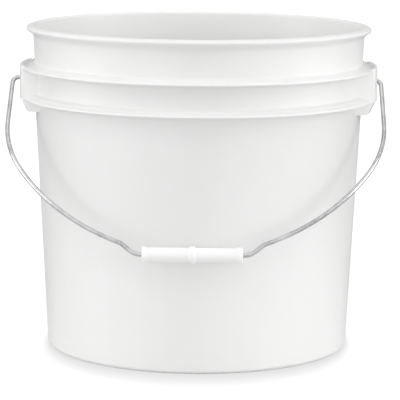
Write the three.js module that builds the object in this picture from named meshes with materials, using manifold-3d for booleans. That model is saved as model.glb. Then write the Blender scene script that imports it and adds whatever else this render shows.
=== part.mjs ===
// Plastic bucket with a wire bail and a moulded grip. Millimetres, +Z up, standing on Z = 0.
// The bucket's axis is the Z axis, the two ears are on the X axis, and the bail hangs in front, at -Y.
import * as THREE from "three";
import { mergeVertices } from "three/addons/utils/BufferGeometryUtils.js";
import Module from "manifold-3d";

const wasm = await Module();
wasm.setup();

// Wall of the bucket
const rimHeight = 283;
const baseRadius = 132.5;
const bodyTaper = 0.0505;
const neckTaper = 0.05;
const wallThickness = 2.2;

// Floor and foot ring
const floorThickness = 2.6;
const footHeight = 4;
const footWidth = 3.5;
const cornerRadius = 4;
const floorFillet = 6;

// Rolled lip round the mouth
const lipOverhang = 5.7;
const lipDepth = 10;
const lipCrest = 2;
const lipCornerRound = 1.6;

// The two sloping rings that stiffen the neck. Their width is how far they stand out from it.
const upperRingHeight = 250;
const upperRingWidth = 11.6;
const upperRingDrop = 2.6;
const lowerRingHeight = 224.8;
const lowerRingWidth = 11.4;
const lowerRingDrop = 3.7;
const ringThickness = 1.8;
const ringFillet = 1.6;
const ringStep = 0.5;

// Ears: hollow boxes between the rings, open underneath, whose outer plate carries the bail.
// Their sides spread towards the neck, and the plate stands up round a shallow recess as a low fence.
const pivotHeight = 235.5;
const earStandOff = 13;
const earPlate = 3.2;
const earSide = 2.4;
const earHalfWidth = 31;
const earSpread = 0.55;
const earRise = 1.3;
const earRecess = 1.2;
const earRoof = 1.8;
const earEdgeRound = 1.5;
const gussetDepth = 15.6;
const gussetInset = 5;

// Bail wire, described from one hooked end to the middle of the grip
const wireRadius = 1.9;
const holeClearance = 1.5;
const seatClearance = 0.3;
const hookBend = 3.5;
const hookEnd = 3;
const legBend = 6.5;
const legStandOff = 5.1;
const legLean = THREE.MathUtils.degToRad(1.3);
const bailSlack = 29.8;
const shoulderRadius = 98.5;
const shoulderTurn = THREE.MathUtils.degToRad(31.3);
const crownTurn = THREE.MathUtils.degToRad(35.4);
const stepTurn = THREE.MathUtils.degToRad(19.5);
const stepRadius = 13;
const stepLength = 9.5;
// The bail rests pushed to one side until its hook meets the left ear's plate.
const hookPlay = 1.6;

// Grip
const gripLength = 83.6;
const gripRadius = 6.25;
const gripRingRadius = 7.5;
const gripRingWidth = 4.8;
const gripFlangeRadius = 6.9;
const gripFlangeWidth = 3.4;
const gripEndRound = 1.2;
const boreClearance = 0.5;

// Facets round the bucket and round the grip
const around = 72;
const gripFacets = 24;

// Outer radius of the wall at a height: a tapered body up to the lower ring, and a straight neck between the
// rings that widens again above the upper one.
function bodyRadius(height) {
  return baseRadius + bodyTaper * height;
}

const neckRadius = bodyRadius(lowerRingHeight);
const upperRingRadius = neckRadius + upperRingWidth;
const lowerRingRadius = neckRadius + lowerRingWidth;
const earRadius = neckRadius + earStandOff;

function neckRadiusAt(height) {
  return neckRadius + neckTaper * Math.max(0, height - upperRingHeight);
}

// Outermost radius of the lip, and the bail's reach from its pivot, which lets the grip pass over the lip.
const lipRadius = neckRadiusAt(rimHeight) + lipOverhang;
const bailReach = Math.hypot(lipRadius, rimHeight - pivotHeight) + gripRingRadius + bailSlack;

// Closed profile of (radius, height) points, turned round the Z axis.
function revolve(points, segments) {
  const geometry = new THREE.LatheGeometry([...points, points[0]], segments);
  return geometry.rotateX(Math.PI / 2);
}

// A closed mesh as a solid for joining and cutting, with its faces turned outwards.
function solid(geometry) {
  const bare = new THREE.BufferGeometry();
  bare.setAttribute("position", geometry.getAttribute("position"));
  if (geometry.index) bare.setIndex(geometry.index);
  const merged = mergeVertices(bare, 1e-4);
  const vertProperties = merged.getAttribute("position").array;
  const corners = merged.index.array;
  const faces = [];
  for (let i = 0; i < corners.length; i += 3) {
    const [a, b, c] = [corners[i], corners[i + 1], corners[i + 2]];
    if (a !== b && b !== c && c !== a) faces.push([a, b, c]);
  }
  const build = (list) => {
    const triVerts = new Uint32Array(list.flat());
    return new wasm.Manifold(new wasm.Mesh({ numProp: 3, vertProperties, triVerts }));
  };
  const made = build(faces);
  return made.volume() > 0 ? made : build(faces.map(([a, b, c]) => [a, c, b]));
}

function geometryOf(made) {
  const mesh = made.getMesh();
  const geometry = new THREE.BufferGeometry();
  geometry.setAttribute("position", new THREE.BufferAttribute(mesh.vertProperties, 3));
  geometry.setIndex(new THREE.BufferAttribute(mesh.triVerts, 1));
  geometry.computeVertexNormals();
  return geometry;
}

function piece(name, geometry, color, roughness, metalness) {
  const mesh = new THREE.Mesh(geometry, new THREE.MeshStandardMaterial({ color, roughness, metalness }));
  mesh.name = name;
  return mesh;
}

// Section of the bucket's wall, floor, rings and lip, anticlockwise from the middle of the floor's underside.
function bucketSection() {
  const footOuter = bodyRadius(0) - cornerRadius;
  const floorTop = footHeight + floorThickness;
  const section = new THREE.Path();
  section.moveTo(0, footHeight);
  section.lineTo(footOuter - footWidth - footHeight / 4, footHeight);
  section.lineTo(footOuter - footWidth, 0);
  section.lineTo(footOuter, 0);
  section.quadraticCurveTo(bodyRadius(0), 0, bodyRadius(cornerRadius), cornerRadius);

  // Each ring is a thin skirt: out along its underside, round its edge, and back up its slope to the neck.
  const ring = (root, edge, top, radius, step) => {
    const rim = ringThickness / 4;
    section.lineTo(root.radius, root.height);
    section.lineTo(radius - rim, edge - ringThickness);
    section.quadraticCurveTo(radius, edge - ringThickness, radius, edge - ringThickness / 2);
    section.quadraticCurveTo(radius, edge, radius - ringThickness / 2, edge + rim / 2);
    const middle = (neckRadius + radius) / 2;
    if (step) {
      section.lineTo(middle, (edge + top) / 2 - step / 2);
      section.lineTo(middle, (edge + top) / 2 + step / 2);
    }
    section.lineTo(neckRadius + ringFillet, top - ringFillet / 4);
    section.quadraticCurveTo(neckRadius, top, neckRadiusAt(top), top + ringFillet);
  };
  const lowerRoot = { radius: neckRadius, height: lowerRingHeight - ringThickness };
  ring(lowerRoot, lowerRingHeight - lowerRingDrop, lowerRingHeight, lowerRingRadius, ringStep);
  const upperRoot = { radius: neckRadius, height: upperRingHeight - ringThickness };
  ring(upperRoot, upperRingHeight - upperRingDrop, upperRingHeight, upperRingRadius, 0);

  // Lip: flares outward from the neck, turns round a corner, and crosses over a crest to the inside.
  const lipFoot = rimHeight - lipDepth;
  const lipNeck = neckRadiusAt(lipFoot);
  const corner = rimHeight - lipCrest;
  section.lineTo(lipNeck, lipFoot);
  section.quadraticCurveTo(
    lipNeck, lipFoot + lipDepth / 4,
    lipNeck + lipOverhang / 4, lipFoot + lipDepth * 0.4,
  );
  section.lineTo(lipRadius - lipCornerRound / 2, corner - lipCornerRound);
  section.quadraticCurveTo(lipRadius, corner - lipCornerRound / 2, lipRadius - lipCornerRound / 2, corner);
  const innerRadius = lipNeck - wallThickness;
  section.quadraticCurveTo(lipRadius - lipOverhang / 2, rimHeight, lipNeck + lipCrest / 4, rimHeight);
  section.quadraticCurveTo(innerRadius, rimHeight, innerRadius, rimHeight - lipCrest * 2);

  // Inside of the neck, body and floor
  section.lineTo(neckRadius - wallThickness, upperRingHeight);
  section.lineTo(bodyRadius(lowerRingHeight) - wallThickness, lowerRingHeight);
  section.lineTo(bodyRadius(floorTop + floorFillet) - wallThickness, floorTop + floorFillet);
  section.quadraticCurveTo(
    bodyRadius(floorTop) - wallThickness, floorTop,
    bodyRadius(floorTop) - wallThickness - floorFillet, floorTop,
  );
  section.lineTo(0, floorTop);
  return section.getPoints(3);
}

// A wedge that spans the right-hand ear, to cut a turned ring down to it. Its sides spread towards the neck.
function earWedge(halfWidth) {
  const reach = earRadius * 2;
  const spreadAt = (across) => halfWidth + earSpread * (earRadius - across);
  const plan = new THREE.Shape([
    new THREE.Vector2(neckRadius / 2, -spreadAt(neckRadius / 2)),
    new THREE.Vector2(earRadius, -halfWidth),
    new THREE.Vector2(reach, -halfWidth),
    new THREE.Vector2(reach, halfWidth),
    new THREE.Vector2(earRadius, halfWidth),
    new THREE.Vector2(neckRadius / 2, spreadAt(neckRadius / 2)),
  ]);
  const wedge = new THREE.ExtrudeGeometry(plan, { depth: rimHeight * 3, bevelEnabled: false });
  return solid(wedge.translate(0, 0, -rimHeight));
}

// One ear, at +X: its block, and the recess, pocket and pivot hole that are cut out of it.
function earParts() {
  const shelfEdge = upperRingHeight - upperRingDrop;
  const top = shelfEdge + earRise;
  const bottom = lowerRingHeight - gussetDepth;
  const gussetTop = lowerRingHeight - lowerRingDrop - ringThickness / 2;
  const plateInner = earRadius - earPlate;
  const recessFloor = shelfEdge - earRecess;
  const block = new THREE.Path();
  block.moveTo(bodyRadius(bottom) - wallThickness / 2, bottom);
  block.lineTo(earRadius - gussetInset - earEdgeRound / 2, bottom);
  block.quadraticCurveTo(earRadius - gussetInset, bottom, earRadius - gussetInset * 0.85, bottom + earEdgeRound);
  block.lineTo(earRadius - earEdgeRound / 5, gussetTop - earEdgeRound);
  block.quadraticCurveTo(earRadius, gussetTop, earRadius, gussetTop + earEdgeRound);
  block.lineTo(earRadius, top - earEdgeRound);
  block.quadraticCurveTo(earRadius, top, earRadius - earPlate / 2, top);
  block.quadraticCurveTo(plateInner, top, plateInner, shelfEdge);
  block.lineTo(neckRadius - wallThickness / 2, upperRingHeight - ringThickness);

  const recess = [
    new THREE.Vector2(neckRadius + wallThickness, recessFloor),
    new THREE.Vector2(plateInner, recessFloor),
    new THREE.Vector2(plateInner, upperRingHeight + ringFillet),
    new THREE.Vector2(neckRadius + wallThickness, upperRingHeight + ringFillet),
  ];
  const roof = recessFloor - earRoof;
  const skin = 0.2;
  const pocket = [
    new THREE.Vector2(bodyRadius(0) + skin, -1),
    new THREE.Vector2(plateInner - gussetInset, -1),
    new THREE.Vector2(plateInner - gussetInset, bottom),
    new THREE.Vector2(plateInner, gussetTop),
    new THREE.Vector2(plateInner, roof),
    new THREE.Vector2(neckRadius + skin, roof),
    new THREE.Vector2(neckRadius + skin, lowerRingHeight),
    new THREE.Vector2(bodyRadius(lowerRingHeight - lowerRingDrop) + skin, lowerRingHeight - lowerRingDrop),
  ];
  const hole = new THREE.CylinderGeometry(wireRadius + holeClearance, wireRadius + holeClearance, earPlate * 4, 24);
  hole.rotateZ(Math.PI / 2).translate(earRadius, 0, pivotHeight);
  const inside = earWedge(earHalfWidth - earSide);
  return {
    block: solid(revolve(block.getPoints(3), around)).intersect(earWedge(earHalfWidth)),
    recess: solid(revolve(recess, around)).intersect(inside),
    pocket: solid(revolve(pocket, around)).intersect(inside),
    hole: solid(hole),
  };
}

function bucket() {
  const ear = earParts();
  let made = solid(revolve(bucketSection(), around));
  for (const side of [0, 180]) {
    made = made.add(ear.block.rotate([0, 0, side]));
  }
  for (const side of [0, 180]) {
    for (const space of [ear.recess, ear.pocket, ear.hole]) {
      made = made.subtract(space.rotate([0, 0, side]));
    }
  }
  return piece("bucket", geometryOf(made), 0xf2f2ef, 0.45, 0);
}

// A flat run of wire made of straights and bends, each with its own number of steps along it.
class WireRoute extends THREE.Curve {
  constructor(start, heading) {
    super();
    this.stretches = [];
    this.position = start.clone();
    this.heading = heading;
    this.stations = 0;
  }
  add(stretch) {
    this.stretches.push(stretch);
    this.stations += stretch.steps;
    this.position = stretch.at(1);
    this.heading += stretch.turn;
  }
  straight(length) {
    const from = this.position.clone();
    const along = new THREE.Vector2(Math.cos(this.heading), Math.sin(this.heading));
    this.add({ steps: 1, turn: 0, at: (t) => from.clone().addScaledVector(along, length * t) });
  }
  // A positive turn bends the run to its left.
  bend(radius, turn, steps) {
    const side = Math.sign(turn);
    const from = this.position.clone();
    const heading = this.heading;
    const centre = new THREE.Vector2(-Math.sin(heading), Math.cos(heading)).multiplyScalar(radius * side).add(from);
    const at = (t) => {
      const now = heading + turn * t;
      return new THREE.Vector2(Math.sin(now), -Math.cos(now)).multiplyScalar(radius * side).add(centre);
    };
    this.add({ steps, turn, at });
  }
  getPoint(t, target = new THREE.Vector3()) {
    let station = THREE.MathUtils.clamp(t, 0, 1) * this.stations;
    const last = this.stretches.length - 1;
    for (const [i, stretch] of this.stretches.entries()) {
      if (station <= stretch.steps || i === last) {
        const spot = stretch.at(station / stretch.steps);
        return target.set(spot.x, 0, spot.y);
      }
      station -= stretch.steps;
    }
    return target;
  }
  getUtoTmapping(u) {
    return u;
  }
}

// How far a bend carries its run across and down, from its first heading.
function bendRun(radius, heading, turn) {
  return {
    across: radius * Math.abs(Math.sin(heading + turn) - Math.sin(heading)),
    down: radius * Math.abs(Math.cos(heading + turn) - Math.cos(heading)),
  };
}

// Half of the bail from the ear to the grip's middle, as moves along its route.
// The crown's radius and the leg's length follow from how wide and how deep the bail is.
function bailMoves() {
  const gripStraight = gripLength / 2 + seatClearance * 2;
  const legHeading = -Math.PI / 2 - legLean;
  const crownHeading = legHeading + shoulderTurn;
  const stepHeading = crownHeading + crownTurn;
  const stepped = stepHeading - stepTurn;
  const corner = bendRun(legBend, -Math.PI, Math.PI / 2 - legLean);
  const shoulder = bendRun(shoulderRadius, legHeading, shoulderTurn);
  const crown = bendRun(1, crownHeading, crownTurn);
  const stepOut = bendRun(stepRadius, stepHeading, -stepTurn);
  const stepIn = bendRun(stepRadius, stepped, -stepped);
  const stepAcross = stepOut.across + stepLength * Math.cos(stepped) + stepIn.across;
  const stepDown = stepOut.down - stepLength * Math.sin(stepped) + stepIn.down;
  const across = legCentre() - legBend + corner.across - shoulder.across - stepAcross - gripStraight;
  const down = bailReach - corner.down - shoulder.down - stepDown;
  const crownRadius = (across + down * Math.tan(legLean)) / (crown.across + crown.down * Math.tan(legLean));
  const legLength = (down - crownRadius * crown.down) / Math.cos(legLean);
  return [
    (route) => route.straight(legCentre() - legBend - hookLine() - hookBend),
    (route) => route.bend(legBend, Math.PI / 2 - legLean, 7),
    (route) => route.straight(legLength),
    (route) => route.bend(shoulderRadius, shoulderTurn, 8),
    (route) => route.bend(crownRadius, crownTurn, 8),
    (route) => route.bend(stepRadius, -stepTurn, 3),
    (route) => route.straight(stepLength),
    (route) => route.bend(stepRadius, -stepped, 5),
    (route) => route.straight(gripStraight),
  ];
}

// Distance of the leg from the middle, where it hangs beside the ear's plate
function legCentre() {
  return earRadius + legStandOff;
}

// Distance of the hook's upright from the middle: it clears the ear's plate when the bail is pushed over.
function hookLine() {
  return earRadius - earPlate - wireRadius - seatClearance - hookPlay;
}

function bailWire() {
  const moves = bailMoves();
  const route = new WireRoute(new THREE.Vector2(-hookLine(), hookBend + hookEnd), -Math.PI / 2);
  const hook = [
    () => route.straight(hookEnd),
    () => route.bend(hookBend, -Math.PI / 2, 6),
  ];
  for (const move of [...hook, ...moves, ...moves.toReversed(), ...hook.toReversed()]) move(route);
  const section = new THREE.Shape();
  section.absarc(0, 0, wireRadius, 0, Math.PI * 2);
  const geometry = new THREE.ExtrudeGeometry(section, {
    curveSegments: 5,
    steps: route.stations,
    extrudePath: route,
  });
  return piece("bail_wire", geometryOf(solid(geometry)), 0xb9bcc0, 0.35, 1);
}

// The grip is a sleeve with a rounded bead at its middle and a slight flange at each end.
function grip() {
  const bore = wireRadius + boreClearance;
  const half = gripLength / 2;
  const flange = half - gripFlangeWidth;
  const bead = gripRingWidth / 2;
  const rise = gripRingRadius - gripRadius;
  const right = [
    new THREE.Vector2(gripRingRadius, bead - rise),
    new THREE.Vector2(gripRadius + rise / 2, bead - rise / 4),
    new THREE.Vector2(gripRadius, bead),
    new THREE.Vector2(gripRadius, flange - gripEndRound / 2),
    new THREE.Vector2(gripFlangeRadius, flange),
    new THREE.Vector2(gripFlangeRadius, half - gripEndRound),
    new THREE.Vector2(gripFlangeRadius - gripEndRound * 0.3, half - gripEndRound * 0.3),
    new THREE.Vector2(gripFlangeRadius - gripEndRound, half),
    new THREE.Vector2(bore, half),
  ];
  const left = right.toReversed().map((point) => new THREE.Vector2(point.x, -point.y));
  const turned = revolve([...left, ...right], gripFacets).rotateY(Math.PI / 2);
  const made = piece("grip", geometryOf(solid(turned)), 0xf7f7f5, 0.3, 0);
  made.position.z = -bailReach;
  return made;
}

// The bail leans forward until the grip's ring rests on the tapered wall.
function restingLean() {
  const slope = Math.atan(bodyTaper);
  const wallAtPivot = bodyRadius(pivotHeight) * Math.cos(slope);
  return Math.asin((wallAtPivot + gripRingRadius + seatClearance) / bailReach) - slope;
}

const bail = new THREE.Group();
bail.add(bailWire(), grip());
bail.position.set(-hookPlay, 0, pivotHeight);
bail.rotation.x = -restingLean();

const group = new THREE.Group();
group.add(bucket(), bail);

export default group;
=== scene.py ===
# A white plastic bucket with a wire bail and a loose grip, standing on a white studio floor.
# Metres, +Z up. The bucket's axis is the Z axis, the ears are on the X axis and the bail hangs at -Y.
from math import asin, atan, cos, pi, radians, sin, tan

import bmesh
import bpy
from mathutils import Euler, Matrix, Vector


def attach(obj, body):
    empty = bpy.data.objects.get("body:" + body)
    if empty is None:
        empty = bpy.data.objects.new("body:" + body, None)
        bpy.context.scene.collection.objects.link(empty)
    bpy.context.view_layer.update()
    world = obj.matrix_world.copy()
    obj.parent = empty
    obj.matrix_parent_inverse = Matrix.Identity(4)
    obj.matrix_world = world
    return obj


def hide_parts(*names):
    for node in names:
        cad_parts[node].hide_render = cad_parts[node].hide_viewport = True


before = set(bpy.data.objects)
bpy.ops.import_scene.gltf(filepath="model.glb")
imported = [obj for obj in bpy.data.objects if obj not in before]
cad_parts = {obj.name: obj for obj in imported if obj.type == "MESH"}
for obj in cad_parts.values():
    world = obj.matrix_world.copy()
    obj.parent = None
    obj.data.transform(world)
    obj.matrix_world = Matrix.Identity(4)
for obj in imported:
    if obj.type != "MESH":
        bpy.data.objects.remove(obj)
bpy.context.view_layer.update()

MM = 0.001

# Sizes of the pail, in millimetres
SIDES = 216
BASE_RADIUS = 132.5
BODY_TAPER = 0.0505
WALL = 2.2
UPPER_RING = {"top": 250, "edge": 247.4, "width": 11.6, "step": 0}
LOWER_RING = {"top": 224.8, "edge": 221.1, "width": 11.4, "step": 0.5}
RING_THICKNESS = 1.8
NECK_RADIUS = BASE_RADIUS + BODY_TAPER * LOWER_RING["top"]
NECK_TAPER = 0.05
RIM_HEIGHT = 283
LIP_OVERHANG = 5.7
LIP_RADIUS = NECK_RADIUS + NECK_TAPER * (RIM_HEIGHT - UPPER_RING["top"]) + LIP_OVERHANG
LIP_FOOT = 273
LIP_FLARE = 2.2
LIP_EDGE = 6.3
LIP_SHOULDER = 8.3
LIP_CREST = 1.4
FOOT_RADIUS = 128.5
FOOT_WIDTH = 3.5
FOOT_HEIGHT = 4
FOOT_BEVEL = 0.8
FLOOR = 2.6

# Sizes of the ears
EAR_STAND_OFF = 13
EAR_RADIUS = NECK_RADIUS + EAR_STAND_OFF
EAR_PLATE = 3.2
EAR_SIDE = 2.4
EAR_HALF_WIDTH = 31
EAR_SPREAD = 0.55
EAR_TOP = 248.7
EAR_RECESS = 246.4
EAR_RECESS_RISE = 2.6
EAR_ROOF = 1.8
EAR_ROUNDING = 2.2
EAR_BOTTOM = 209.2
GUSSET_TOP = 219.2
GUSSET_STEP = 0.9
GUSSET_INSET = 5.4
PIVOT_HEIGHT = 235.5
HOLE_RADIUS = 3.4
HOLE_LEAD = 0.9
HOLE_LEAD_RISE = 0.4
HOLE_TOOL_RISE = 4
HOLE_DEPTH = 9

# How far the tools that hollow the ears reach beyond what they cut, and how much of the wall they leave
CUT_BEYOND = 5
CUT_BELOW = 10
CUT_SKIN = 0.2

# Sizes of the bail and the grip
WIRE_RADIUS = 1.9
SEAT = 0.3
HOOK_PLAY = 1.6
HOOK_BEND = 3.5
HOOK_END = 3
LEG_BEND = 6.5
LEG_STAND_OFF = 5.1
LEG_CENTRE = EAR_RADIUS + LEG_STAND_OFF
LEG_LEAN = radians(1.3)
BAIL_REACH = 195.788
SHOULDER_RADIUS = 98.5
SHOULDER_TURN = radians(31.3)
CROWN_TURN = radians(35.4)
STEP_TURN = radians(19.5)
STEP_RADIUS = 13
STEP_LENGTH = 9.5
GRIP_LENGTH = 83.6
GRIP_RADIUS = 6.25
GRIP_RING_RADIUS = 7.5
GRIP_RING_WIDTH = 4.8
GRIP_FLANGE_RADIUS = 6.9
GRIP_FLANGE_WIDTH = 3.4
GRIP_FLANGE_SLOPE = 0.8
GRIP_RING_FOOT = 0.3
GRIP_RING_SLOPE = 0.4
GRIP_BORE = 2.4

# Colours, from darker to lighter
PAIL_COLOURS = (0.845, 0.845, 0.838, 1), (0.875, 0.876, 0.872, 1)
WIRE_COLOURS = (0.45, 0.455, 0.46, 1), (0.7, 0.705, 0.71, 1)
GRIP_COLOURS = (0.9, 0.9, 0.895, 1), (0.93, 0.93, 0.925, 1)

# Viewpoint: where the camera stands, seen from the bucket's axis
CAMERA_TURN = radians(0.94)
CAMERA_DISTANCE = 2004.5
CAMERA_SIDE = 2.04
CAMERA_HEIGHT = 454.7
CAMERA_PITCH = 0.162
CAMERA_ROLL = 0.008
CAMERA_LENS = 205.8

# What the lamps find of the floor: close to the pail, further out in front, and behind it
FLOOR_NEAR = (0.74, 0.74, 0.74, 1)
FLOOR_FRONT = (0.42, 0.42, 0.42, 1)
FLOOR_BEHIND = (0.1, 0.1, 0.1, 1)

# What the camera sees of the floor: its glow darkened into a painted shadow against the foot, its own
# brightness clear of it and far away
PAINTED_SHADOW_AT_FOOT = (0.58, 0.58, 0.58, 1)
SHOWN_CLEAR = (0.87, 0.87, 0.87, 1)
SHOWN_FAR = (1.1, 1.1, 1.1, 1)
SHOWN_SKIN = (0.2, 0.2, 0.2, 1)

# Where the floor's parts change over, in metres from the bucket's axis, and the width of its painted
# shadow
FAR_FLOOR = 0.2, 0.45
NEAR_FLOOR = 0.3, 1.1
BEHIND_FLOOR = -0.1, 0.25
SHADOW_SIDE = 0.012
SHADOW_FRONT = 0.06

# Lamps: turn from the camera's side and rise in degrees, distance and size in metres, and power in watts
LAMPS = [
    ("left_edge", -82, 10, 1.8, 0.42, 0.9, 7.83),
    ("right_edge", 82, 10, 1.8, 0.42, 0.9, 8.98),
    ("left_front", -42, 10, 1.8, 0.42, 0.9, 1.34),
    ("right_front", 38, 10, 1.8, 0.42, 0.9, 1.72),
    ("left_high", -60, 45, 1.8, 0.6, 0.6, 2.29),
    ("right_high", 60, 42, 1.8, 0.6, 0.6, 1.81),
    ("front", 0, 8, 2.4, 0.5, 0.6, 3.06),
    ("front_high", 0, 50, 1.8, 0.7, 0.7, 3.15),
    ("overhead", 0, 89, 1.6, 0.9, 0.9, 2.67),
]

# How strong the white room is to all but the camera: in general, and straight behind the pail
ROOM = 0.685
ROOM_BEHIND = 0.03
ROOM_CONE = 0.72, 0.93
AIM_HEIGHT = 0.15


def camera():
    """A long lens from a little above the lip, turned so that the right ear is the nearer one."""
    data = bpy.data.cameras.new("camera")
    data.lens = CAMERA_LENS
    data.sensor_width = 36
    data.clip_start, data.clip_end = 0.1, 20
    eye = bpy.data.objects.new("camera", data)
    bpy.context.scene.collection.objects.link(eye)
    turn = Matrix.Rotation(CAMERA_TURN, 4, "Z")
    place = turn @ Vector((CAMERA_SIDE * MM, -CAMERA_DISTANCE * MM, CAMERA_HEIGHT * MM))
    aim = Euler((pi / 2 - CAMERA_PITCH, 0, CAMERA_TURN)).to_matrix().to_4x4()
    eye.matrix_world = Matrix.Translation(place) @ aim @ Matrix.Rotation(CAMERA_ROLL, 4, "Z")
    bpy.context.scene.camera = eye


class Value:
    """A shader socket that takes part in arithmetic. Each operator adds one Math node."""

    def __init__(self, nodes, socket):
        self.nodes, self.socket = nodes, socket

    def math(self, operation, other):
        return self.nodes.add("ShaderNodeMath", {"operation": operation}, {0: self, 1: other})

    def __add__(self, other):
        return self.math("ADD", other)

    def __radd__(self, other):
        return self.math("ADD", other)

    def __sub__(self, other):
        return self.math("SUBTRACT", other)

    def __mul__(self, other):
        return self.math("MULTIPLY", other)

    def __truediv__(self, other):
        return self.math("DIVIDE", other)

    def between(self, low, high):
        """0 below low, 1 above high and a smooth rise from one to the other."""
        settings = {"interpolation_type": "SMOOTHSTEP"}
        inputs = {"Value": self, "From Min": low, "From Max": high}
        return self.nodes.add("ShaderNodeMapRange", settings, inputs)


class Nodes:
    """The node tree of one material."""

    def __init__(self, name):
        self.material = bpy.data.materials.new(name)
        self.material.use_nodes = True
        self.tree = self.material.node_tree
        self.shader = self.tree.nodes["Principled BSDF"]

    def add(self, kind, settings=None, inputs=None, output=0):
        node = self.tree.nodes.new(kind)
        for key, value in (settings or {}).items():
            setattr(node, key, value)
        for key, value in (inputs or {}).items():
            self.feed(node.inputs[key], value)
        return Value(self, node.outputs[output])

    def feed(self, socket, value):
        if isinstance(value, Value):
            value = value.socket
        if isinstance(value, bpy.types.NodeSocket):
            self.tree.links.new(value, socket)
        else:
            socket.default_value = value

    def finish(self, **inputs):
        for key, value in inputs.items():
            self.feed(self.shader.inputs[key.replace("_", " ")], value)
        return self.material

    def place(self, scale=(1, 1, 1)):
        """Object coordinates, stretched by scale."""
        where = self.add("ShaderNodeTexCoord", output=3)
        return self.add("ShaderNodeMapping", None, {"Vector": where, "Scale": scale})

    def noise(self, where, scale, detail=2, roughness=0.5):
        inputs = {"Vector": where, "Scale": scale, "Detail": detail, "Roughness": roughness}
        return self.add("ShaderNodeTexNoise", None, inputs)

    def mix(self, amount, first, second):
        settings = {"data_type": "RGBA"}
        return self.add("ShaderNodeMix", settings, {0: amount, 6: first, 7: second}, output=2)

    def bump(self, height, distance):
        return self.add("ShaderNodeBump", None, {"Height": height, "Distance": distance, "Strength": 1.0})


def moulded_polyethylene():
    """White polyethylene with a satin moulded skin, faint flow marks and a few handling scuffs."""
    nodes = Nodes("moulded_polyethylene")
    where = nodes.place()
    cloud = nodes.noise(where, 9, 3).between(0.35, 0.7)
    flow = nodes.noise(nodes.place((60, 60, 5)), 1, 3).between(0.3, 0.75)
    grain = nodes.noise(where, 900, 3, 0.6)
    orange_peel = nodes.noise(where, 160, 2)
    scuffs = nodes.noise(nodes.place((18, 18, 260)), 1, 4, 0.6).between(0.66, 0.8)
    colour = nodes.mix(cloud * 0.6 + flow * 0.2, *PAIL_COLOURS)
    skin = nodes.bump(grain * 0.5 + orange_peel * 0.5 - scuffs * 0.3, 0.00006)
    return nodes.finish(
        Base_Color=colour,
        Roughness=0.42 + flow * 0.05 + scuffs * 0.1,
        Normal=skin,
        IOR=1.5,
        Subsurface_Weight=0.12,
        Subsurface_Radius=(1, 1, 1),
        Subsurface_Scale=0.003,
    )


def galvanised_wire():
    """Drawn steel wire with a dull zinc coat: soft spangle and darker patches."""
    nodes = Nodes("galvanised_wire")
    where = nodes.place()
    spangle = nodes.noise(where, 420, 2)
    dull = nodes.noise(where, 60, 3).between(0.4, 0.65)
    colour = nodes.mix(dull * 0.6 + spangle * 0.4, *WIRE_COLOURS)
    return nodes.finish(
        Base_Color=colour,
        Metallic=1.0,
        Roughness=0.24 + dull * 0.08 + spangle * 0.06,
        Normal=nodes.bump(spangle, 0.00003),
    )


def glossy_grip():
    """Bright white plastic with a smoother skin than the pail's."""
    nodes = Nodes("glossy_grip")
    where = nodes.place()
    cloud = nodes.noise(where, 30, 2)
    peel = nodes.noise(where, 300, 2)
    colour = nodes.mix(cloud, *GRIP_COLOURS)
    return nodes.finish(
        Base_Color=colour,
        Roughness=0.42 + cloud * 0.06,
        Normal=nodes.bump(peel, 0.00004),
        IOR=1.5,
        Subsurface_Weight=0.15,
        Subsurface_Radius=(1, 1, 1),
        Subsurface_Scale=0.003,
    )


def new_piece(name):
    """A piece that starts as one point at the origin, in edit mode."""
    bpy.ops.object.select_all(action="DESELECT")
    bpy.ops.mesh.primitive_plane_add(size=0.001, location=(0, 0, 0))
    made = bpy.context.object
    made.name = made.data.name = name
    bpy.ops.object.mode_set(mode="EDIT")
    bpy.ops.mesh.select_all(action="SELECT")
    bpy.ops.mesh.merge(type="CENTER")
    bpy.ops.mesh.select_mode(type="VERT")
    bpy.ops.mesh.select_all(action="SELECT")
    return made


def here():
    """Where the one selected point is."""
    mesh = bmesh.from_edit_mesh(bpy.context.edit_object.data)
    return next(point.co.copy() for point in mesh.verts if point.select)


def draw_to(target):
    """Extrudes the selected point to a new place, given in metres."""
    step = Vector(target) - here()
    bpy.ops.mesh.extrude_region_move(TRANSFORM_OT_translate={"value": step})


def select_where(test, kind="verts"):
    """Selects the vertices, edges or faces for which the test holds, and nothing else."""
    bpy.ops.mesh.select_all(action="DESELECT")
    bpy.ops.mesh.select_mode(type={"verts": "VERT", "edges": "EDGE", "faces": "FACE"}[kind])
    mesh = bmesh.from_edit_mesh(bpy.context.edit_object.data)
    for part in getattr(mesh, kind):
        if test(part):
            part.select_set(True)
    mesh.select_flush_mode()
    bmesh.update_edit_mesh(bpy.context.edit_object.data)


def draw_profile(corners, closed, plane=lambda across, up: (across, 0, up)):
    """Draws a profile of (across, up, rounding) corners in millimetres, and rounds them."""
    points = [Vector(plane(across, up)) * MM for across, up, _ in corners]
    bpy.ops.transform.translate(value=points[0] - here())
    for point in points[1:]:
        draw_to(point)
    if closed:
        bpy.ops.mesh.select_all(action="SELECT")
        select_where(lambda v: min((v.co - points[0]).length, (v.co - points[-1]).length) < 1e-6)
        bpy.ops.mesh.edge_face_add()
    for point, (_, _, rounding) in zip(points, corners):
        if rounding:
            select_where(lambda v: (v.co - point).length < 1e-6)
            segments = 3 if rounding < 1.5 else 6
            bpy.ops.mesh.bevel(
                offset=rounding * MM, affect="VERTICES", segments=segments, clamp_overlap=True
            )
    bpy.ops.mesh.select_all(action="SELECT")


def turn_round(steps, angle=2 * pi, axis=(0, 0, 1)):
    """Spins the selected profile round an axis through the origin."""
    bpy.ops.mesh.spin(steps=steps, angle=angle, center=(0, 0, 0), axis=axis)
    bpy.ops.mesh.select_all(action="SELECT")
    bpy.ops.mesh.remove_doubles(threshold=1e-6)
    bpy.ops.mesh.normals_make_consistent(inside=False)


def leave_edit():
    bpy.ops.object.mode_set(mode="OBJECT")


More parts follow.
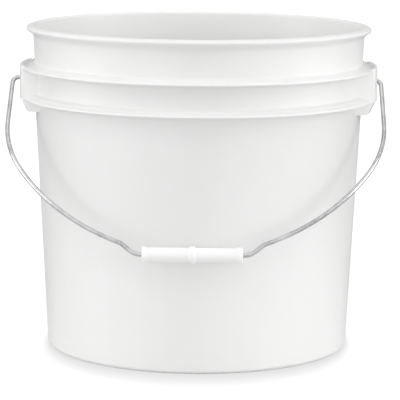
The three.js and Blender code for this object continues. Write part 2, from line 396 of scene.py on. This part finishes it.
def cut(piece, tool, operation):
    """Joins a tool to a piece, or cuts it out, and deletes the tool."""
    bpy.ops.object.select_all(action="DESELECT")
    bpy.context.view_layer.objects.active = piece
    piece.select_set(True)
    bpy.ops.object.modifier_add(type="BOOLEAN")
    change = piece.modifiers[-1]
    change.operation = operation
    change.object = tool
    change.solver = "EXACT"
    bpy.ops.object.modifier_apply(modifier=change.name)
    bpy.data.objects.remove(tool)


def smooth(piece, angle):
    bpy.ops.object.select_all(action="DESELECT")
    bpy.context.view_layer.objects.active = piece
    piece.select_set(True)
    bpy.ops.object.shade_smooth_by_angle(angle=radians(angle))


def dress(piece, material, body, node):
    piece.data.materials.clear()
    piece.data.materials.append(material)
    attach(piece, body)
    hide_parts(node)


def body_radius(height):
    return BASE_RADIUS + BODY_TAPER * height


def ring_corners(ring):
    """A sloping skirt: out along its underside, round its thin edge, and back up to the neck."""
    radius = NECK_RADIUS + ring["width"]
    corners = [
        (NECK_RADIUS, ring["top"] - RING_THICKNESS, 0.6),
        (radius, ring["edge"] - RING_THICKNESS, 0.5),
        (radius, ring["edge"] + 0.1, 0.7),
    ]
    if ring["step"]:
        middle, height = (NECK_RADIUS + radius) / 2, (ring["top"] + ring["edge"]) / 2
        corners += [(middle, height - ring["step"] / 2, 0.2), (middle, height + ring["step"] / 2, 0.2)]
    return corners + [(NECK_RADIUS, ring["top"], 1.6)]


def pail_shell():
    """The pail without its ears, turned from one profile that runs up the outside and down the inside."""
    neck_top = NECK_RADIUS + NECK_TAPER * (LIP_FOOT - UPPER_RING["top"])
    inner_top = neck_top - WALL
    floor_top = FOOT_HEIGHT + FLOOR
    corners = [
        (0, FOOT_HEIGHT, 0),
        (FOOT_RADIUS - FOOT_WIDTH - 1, FOOT_HEIGHT, 0.8),
        (FOOT_RADIUS - FOOT_WIDTH, 0, 0.6),
        (FOOT_RADIUS, 0, 0.6),
        (body_radius(FOOT_BEVEL), FOOT_BEVEL, 3),
        *ring_corners(LOWER_RING),
        *ring_corners(UPPER_RING),
        (neck_top, LIP_FOOT + LIP_FLARE, 2.2),
        (LIP_RADIUS, LIP_FOOT + LIP_EDGE, 1.0),
        (LIP_RADIUS, LIP_FOOT + LIP_SHOULDER, 0.9),
        (neck_top + LIP_CREST, RIM_HEIGHT, LIP_CREST),
        (inner_top, RIM_HEIGHT, 2.2),
        (NECK_RADIUS - WALL, UPPER_RING["top"], 2),
        (body_radius(LOWER_RING["top"]) - WALL, LOWER_RING["top"], 2),
        (body_radius(floor_top) - WALL, floor_top, 5.5),
        (0, floor_top, 0),
    ]
    shell = new_piece("pail")
    draw_profile(corners, closed=False)
    turn_round(SIDES)
    leave_edit()
    return shell


def turned_wedge(name, corners, half_width, rounding=0.0):
    """A closed profile turned through an ear's width, with flat sides that spread inwards."""
    slab = new_piece(name)
    draw_profile(corners, closed=True)
    reach = asin((half_width + EAR_SPREAD * 20) / (NECK_RADIUS - 8)) * 1.2
    steps = round(SIDES * 2 * reach / (2 * pi)) + 2
    bpy.ops.mesh.spin(steps=steps, angle=2 * reach, center=(0, 0, 0), axis=(0, 0, 1))
    leave_edit()
    # The spin starts in the XZ plane, so half of it is turned back to lie evenly on both sides.
    way = 1 if sum(point.co.y for point in slab.data.vertices) > 0 else -1
    slab.data.transform(Matrix.Rotation(-way * reach, 4, "Z"))
    bpy.ops.object.mode_set(mode="EDIT")
    for side in (-1, 1):
        bpy.ops.mesh.select_all(action="SELECT")
        bpy.ops.mesh.bisect(
            plane_co=Vector((EAR_RADIUS, side * half_width, 0)) * MM,
            plane_no=Vector((EAR_SPREAD, side, 0)).normalized(),
            clear_outer=True,
            use_fill=True,
        )
    bpy.ops.mesh.select_all(action="SELECT")
    bpy.ops.mesh.remove_doubles(threshold=1e-6)
    bpy.ops.mesh.normals_make_consistent(inside=False)
    if rounding:
        edge = (half_width + EAR_SPREAD * EAR_RADIUS) * MM - 2e-6
        select_where(lambda e: all(abs(v.co.y) + EAR_SPREAD * v.co.x > edge for v in e.verts), "edges")
        bpy.ops.mesh.bevel(
            offset=rounding * MM, segments=5, affect="EDGES", clamp_overlap=True
        )
    leave_edit()
    return slab


def half_turn(piece):
    """A copy of a piece on the other side of the bucket."""
    other = piece.copy()
    other.data = piece.data.copy()
    bpy.context.scene.collection.objects.link(other)
    other.data.transform(Matrix.Rotation(pi, 4, "Z"))
    return other


def add_ears(shell):
    """Joins the ears to the pail and hollows them: a recess, a pocket from below and the wire's hole."""
    plate_inner = EAR_RADIUS - EAR_PLATE
    shelf = UPPER_RING["edge"]
    roof = EAR_RECESS - EAR_ROOF - CUT_SKIN
    block = turned_wedge("ear", [
        (body_radius(EAR_BOTTOM) - WALL / 2, EAR_BOTTOM, 0),
        (EAR_RADIUS - GUSSET_INSET, EAR_BOTTOM, 0.8),
        (EAR_RADIUS - GUSSET_STEP, GUSSET_TOP, 0.3),
        (EAR_RADIUS, GUSSET_TOP, 0.6),
        (EAR_RADIUS, EAR_TOP, 1.3),
        (plate_inner, EAR_TOP, 1.1),
        (plate_inner, shelf, 0),
        (NECK_RADIUS - WALL / 2, UPPER_RING["top"] - RING_THICKNESS, 0),
    ], EAR_HALF_WIDTH, rounding=EAR_ROUNDING)
    inner_half_width = EAR_HALF_WIDTH - EAR_SIDE
    recess = turned_wedge("recess", [
        (NECK_RADIUS + WALL, EAR_RECESS + EAR_RECESS_RISE, 0.5),
        (plate_inner, EAR_RECESS, 0.5),
        (plate_inner, EAR_RECESS + CUT_BEYOND, 0),
        (NECK_RADIUS + WALL, EAR_RECESS + CUT_BEYOND, 0),
    ], inner_half_width)
    pocket = turned_wedge("pocket", [
        (body_radius(EAR_BOTTOM - CUT_BELOW) + CUT_SKIN, EAR_BOTTOM - CUT_BELOW, 0),
        (plate_inner - GUSSET_INSET, EAR_BOTTOM - CUT_BELOW, 0),
        (plate_inner - GUSSET_INSET, EAR_BOTTOM, 0),
        (plate_inner, GUSSET_TOP, 2),
        (plate_inner, roof, 0.6),
        (NECK_RADIUS + CUT_SKIN, roof, 0.6),
        (NECK_RADIUS + CUT_SKIN, LOWER_RING["top"], 0),
    ], inner_half_width)
    hole = new_piece("hole")
    draw_profile([
        (0, EAR_RADIUS - HOLE_DEPTH, 0),
        (HOLE_RADIUS, EAR_RADIUS - HOLE_DEPTH, 0),
        (HOLE_RADIUS, EAR_RADIUS - 0.5, 0),
        (HOLE_RADIUS + HOLE_LEAD, EAR_RADIUS + HOLE_LEAD_RISE, 0),
        (HOLE_RADIUS + HOLE_LEAD, EAR_RADIUS + HOLE_TOOL_RISE, 0),
        (0, EAR_RADIUS + HOLE_TOOL_RISE, 0),
    ], closed=False, plane=lambda across, up: (up, 0, across))
    turn_round(48, axis=(1, 0, 0))
    leave_edit()
    hole.data.transform(Matrix.Translation((0, 0, PIVOT_HEIGHT * MM)))
    other_hole = half_turn(hole)
    for ear in (block, half_turn(block)):
        cut(shell, ear, "UNION")
    for space in (half_turn(recess), recess, half_turn(pocket), pocket, hole, other_hole):
        cut(shell, space, "DIFFERENCE")
    return shell


def pail():
    made = add_ears(pail_shell())
    smooth(made, 32)
    dress(made, moulded_polyethylene(), "shell", "bucket")
    return made


def bend_run(radius, heading, turn):
    """How far a bend carries the wire across and down."""
    return (
        radius * abs(sin(heading + turn) - sin(heading)),
        radius * abs(cos(heading + turn) - cos(heading)),
    )


class WireRoute:
    """Draws the wire's centre line in the XZ plane, as straights and bends from the last point drawn."""

    def __init__(self, start, heading):
        bpy.ops.transform.translate(value=Vector((start[0], 0, start[1])) * MM - here())
        self.heading = heading

    def straight(self, length):
        step = Vector((cos(self.heading), 0, sin(self.heading))) * length * MM
        draw_to(here() + step)

    def bend(self, radius, turn):
        side = 1 if turn > 0 else -1
        centre = here() + Vector((-sin(self.heading), 0, cos(self.heading))) * radius * side * MM
        steps = max(4, round(abs(turn) * 12), round(abs(turn) * radius / 4))
        away = here() - centre
        for step in range(1, steps + 1):
            now = Matrix.Rotation(-turn * step / steps, 3, "Y") @ away
            draw_to(centre + now)
        self.heading += turn


def bail_moves():
    """Half of the bail, from the ear to the middle of the grip."""
    grip_straight = GRIP_LENGTH / 2 + SEAT * 2
    hook_line = EAR_RADIUS - EAR_PLATE - WIRE_RADIUS - SEAT - HOOK_PLAY
    leg_heading = -pi / 2 - LEG_LEAN
    crown_heading = leg_heading + SHOULDER_TURN
    step_heading = crown_heading + CROWN_TURN
    stepped = step_heading - STEP_TURN
    corner = bend_run(LEG_BEND, -pi, pi / 2 - LEG_LEAN)
    shoulder = bend_run(SHOULDER_RADIUS, leg_heading, SHOULDER_TURN)
    crown = bend_run(1, crown_heading, CROWN_TURN)
    step_out = bend_run(STEP_RADIUS, step_heading, -STEP_TURN)
    step_in = bend_run(STEP_RADIUS, stepped, -stepped)
    step_across = step_out[0] + STEP_LENGTH * cos(stepped) + step_in[0]
    step_down = step_out[1] - STEP_LENGTH * sin(stepped) + step_in[1]
    across = LEG_CENTRE - LEG_BEND + corner[0] - shoulder[0] - step_across - grip_straight
    down = BAIL_REACH - corner[1] - shoulder[1] - step_down
    crown_radius = (across + down * tan(LEG_LEAN)) / (crown[0] + crown[1] * tan(LEG_LEAN))
    leg_length = (down - crown_radius * crown[1]) / cos(LEG_LEAN)
    return hook_line, [
        ("straight", LEG_CENTRE - LEG_BEND - hook_line - HOOK_BEND),
        ("bend", LEG_BEND, pi / 2 - LEG_LEAN),
        ("straight", leg_length),
        ("bend", SHOULDER_RADIUS, SHOULDER_TURN),
        ("bend", crown_radius, CROWN_TURN),
        ("bend", STEP_RADIUS, -STEP_TURN),
        ("straight", STEP_LENGTH),
        ("bend", STEP_RADIUS, -stepped),
        ("straight", grip_straight),
    ]


def resting_lean():
    """How far the bail leans forward from straight down when the grip's ring rests on the wall."""
    slope = atan(BODY_TAPER)
    wall = body_radius(PIVOT_HEIGHT) * cos(slope)
    return asin((wall + GRIP_RING_RADIUS + SEAT) / BAIL_REACH) - slope


def hang(piece):
    """Moves a piece that was made hanging straight down from the origin to its place in the ears."""
    place = Matrix.Translation(Vector((-HOOK_PLAY, 0, PIVOT_HEIGHT)) * MM)
    piece.data.transform(place @ Matrix.Rotation(-resting_lean(), 4, "X"))


def bail():
    new_piece("bail")
    hook_line, moves = bail_moves()
    route = WireRoute((-hook_line, HOOK_BEND + HOOK_END), -pi / 2)
    hook = [("straight", HOOK_END), ("bend", HOOK_BEND, -pi / 2)]
    for kind, *sizes in hook + moves + moves[::-1] + hook[::-1]:
        getattr(route, kind)(*sizes)
    leave_edit()
    bpy.ops.object.convert(target="CURVE")
    wire = bpy.context.object
    wire.data.bevel_depth = WIRE_RADIUS * MM
    wire.data.bevel_resolution = 6
    wire.data.use_fill_caps = True
    bpy.ops.object.convert(target="MESH")
    wire = bpy.context.object
    wire.name = wire.data.name = "bail"
    bpy.ops.object.mode_set(mode="EDIT")
    bpy.ops.mesh.select_all(action="SELECT")
    bpy.ops.mesh.remove_doubles(threshold=1e-6)
    bpy.ops.mesh.normals_make_consistent(inside=False)
    leave_edit()
    smooth(wire, 40)
    hang(wire)
    dress(wire, galvanised_wire(), "bail", "bail_wire")
    return wire


def grip():
    half = GRIP_LENGTH / 2
    ring = GRIP_RING_WIDTH / 2
    sleeve = new_piece("sleeve")
    flange = half - GRIP_FLANGE_WIDTH
    corners = [
        (GRIP_BORE, -half, 0.3),
        (GRIP_FLANGE_RADIUS, -half, 1.0),
        (GRIP_FLANGE_RADIUS, -flange, 0.5),
        (GRIP_RADIUS, -flange + GRIP_FLANGE_SLOPE, 0.6),
        (GRIP_RADIUS, -ring - GRIP_RING_FOOT, 0.5),
        (GRIP_RING_RADIUS, -ring + GRIP_RING_SLOPE, 1.1),
        (GRIP_RING_RADIUS, ring - GRIP_RING_SLOPE, 1.1),
        (GRIP_RADIUS, ring + GRIP_RING_FOOT, 0.5),
        (GRIP_RADIUS, flange - GRIP_FLANGE_SLOPE, 0.6),
        (GRIP_FLANGE_RADIUS, flange, 0.5),
        (GRIP_FLANGE_RADIUS, half, 1.0),
        (GRIP_BORE, half, 0.3),
    ]
    draw_profile(corners, closed=True, plane=lambda across, up: (up, 0, across))
    turn_round(64, axis=(1, 0, 0))
    leave_edit()
    sleeve.data.transform(Matrix.Translation((0, 0, -BAIL_REACH * MM)))
    smooth(sleeve, 35)
    hang(sleeve)
    dress(sleeve, glossy_grip(), "handle_grip", "grip")
    return sleeve


def studio_floor():
    """The floor: white with a soft painted shadow round the foot to the camera, and duller to the lamps.
    """
    bpy.ops.object.select_all(action="DESELECT")
    bpy.ops.mesh.primitive_plane_add(size=30, location=(0, 0, 0))
    floor = bpy.context.object
    floor.name = "floor"
    nodes = Nodes("floor_white")
    where = nodes.place()
    reach = nodes.add("ShaderNodeVectorMath", {"operation": "LENGTH"}, {0: where}, output=1)
    across = nodes.add("ShaderNodeSeparateXYZ", None, {0: where}, output=1)
    slant = across / reach
    # The soft shadow round the foot, painted into the floor's glow: narrow at the sides, wide in front
    # and behind.
    painted_shadow_fade = (reach - FOOT_RADIUS * MM) / (slant * slant * SHADOW_FRONT + SHADOW_SIDE)
    clear = painted_shadow_fade.between(0, 1)
    far = reach.between(*FAR_FLOOR)
    behind = across.between(*BEHIND_FLOOR)
    # Painted shadow: the floor's glow is darker against the foot and brightens away from it.
    near_with_painted_shadow = nodes.mix(clear, PAINTED_SHADOW_AT_FOOT, SHOWN_CLEAR)
    shown = nodes.finish(
        Base_Color=nodes.mix(far, SHOWN_SKIN, (0, 0, 0, 1)),
        Roughness=1.0,
        Specular_IOR_Level=0.0,
        Emission_Color=nodes.mix(far, near_with_painted_shadow, SHOWN_FAR),
        Emission_Strength=1.0,
    )
    front = nodes.mix(reach.between(*NEAR_FLOOR), FLOOR_NEAR, FLOOR_FRONT)
    dull = nodes.add("ShaderNodeBsdfDiffuse", None, {"Color": nodes.mix(behind, front, FLOOR_BEHIND)})
    seen = nodes.add("ShaderNodeLightPath")
    both = nodes.add("ShaderNodeMixShader", None, {0: seen, 1: dull, 2: nodes.shader.outputs[0]})
    nodes.tree.links.new(both.socket, nodes.tree.nodes["Material Output"].inputs["Surface"])
    floor.data.materials.append(shown)


def softbox(name, turn, rise, distance, width, height, power):
    """A rectangular light that is aimed at the pail, placed by its turn and its rise."""
    aim = Vector((0, 0, AIM_HEIGHT))
    away = Vector((sin(turn) * cos(rise), -cos(turn) * cos(rise), sin(rise)))
    data = bpy.data.lights.new(name, "AREA")
    data.shape = "RECTANGLE"
    data.size, data.size_y = width, height
    data.energy = power
    lamp = bpy.data.objects.new(name, data)
    bpy.context.scene.collection.objects.link(lamp)
    lamp.location = aim + away * distance
    lamp.rotation_euler = (-away).to_track_quat("-Z", "Y").to_euler()
    lamp.visible_camera = False


def backdrop():
    """White to the camera and softer to everything else, so that the lamps give the pail its shape."""
    world = bpy.data.worlds.new("studio")
    world.use_nodes = True
    tree = world.node_tree
    sky = tree.nodes["Background"]
    seen = tree.nodes.new("ShaderNodeLightPath")
    way = tree.nodes.new("ShaderNodeTexCoord")
    parts = tree.nodes.new("ShaderNodeSeparateXYZ")
    room = tree.nodes.new("ShaderNodeMapRange")
    room.interpolation_type = "SMOOTHSTEP"
    room.inputs["From Min"].default_value, room.inputs["From Max"].default_value = ROOM_CONE
    room.inputs["To Min"].default_value = ROOM
    room.inputs["To Max"].default_value = ROOM_BEHIND
    strength = tree.nodes.new("ShaderNodeMapRange")
    tree.links.new(way.outputs["Generated"], parts.inputs[0])
    tree.links.new(parts.outputs["Y"], room.inputs["Value"])
    tree.links.new(seen.outputs["Is Camera Ray"], strength.inputs["Value"])
    tree.links.new(room.outputs["Result"], strength.inputs["To Min"])
    tree.links.new(strength.outputs["Result"], sky.inputs["Strength"])
    sky.inputs["Color"].default_value = (1, 1, 1, 1)
    bpy.context.scene.world = world


def studio():
    """The floor, the white room and softboxes at both sides, in front and above."""
    studio_floor()
    backdrop()
    for name, turn, rise, distance, width, height, power in LAMPS:
        softbox(name, radians(turn), radians(rise), distance, width, height, power)
    bpy.context.scene.view_settings.view_transform = "Standard"


camera()
pail()
bail()
grip()
studio()
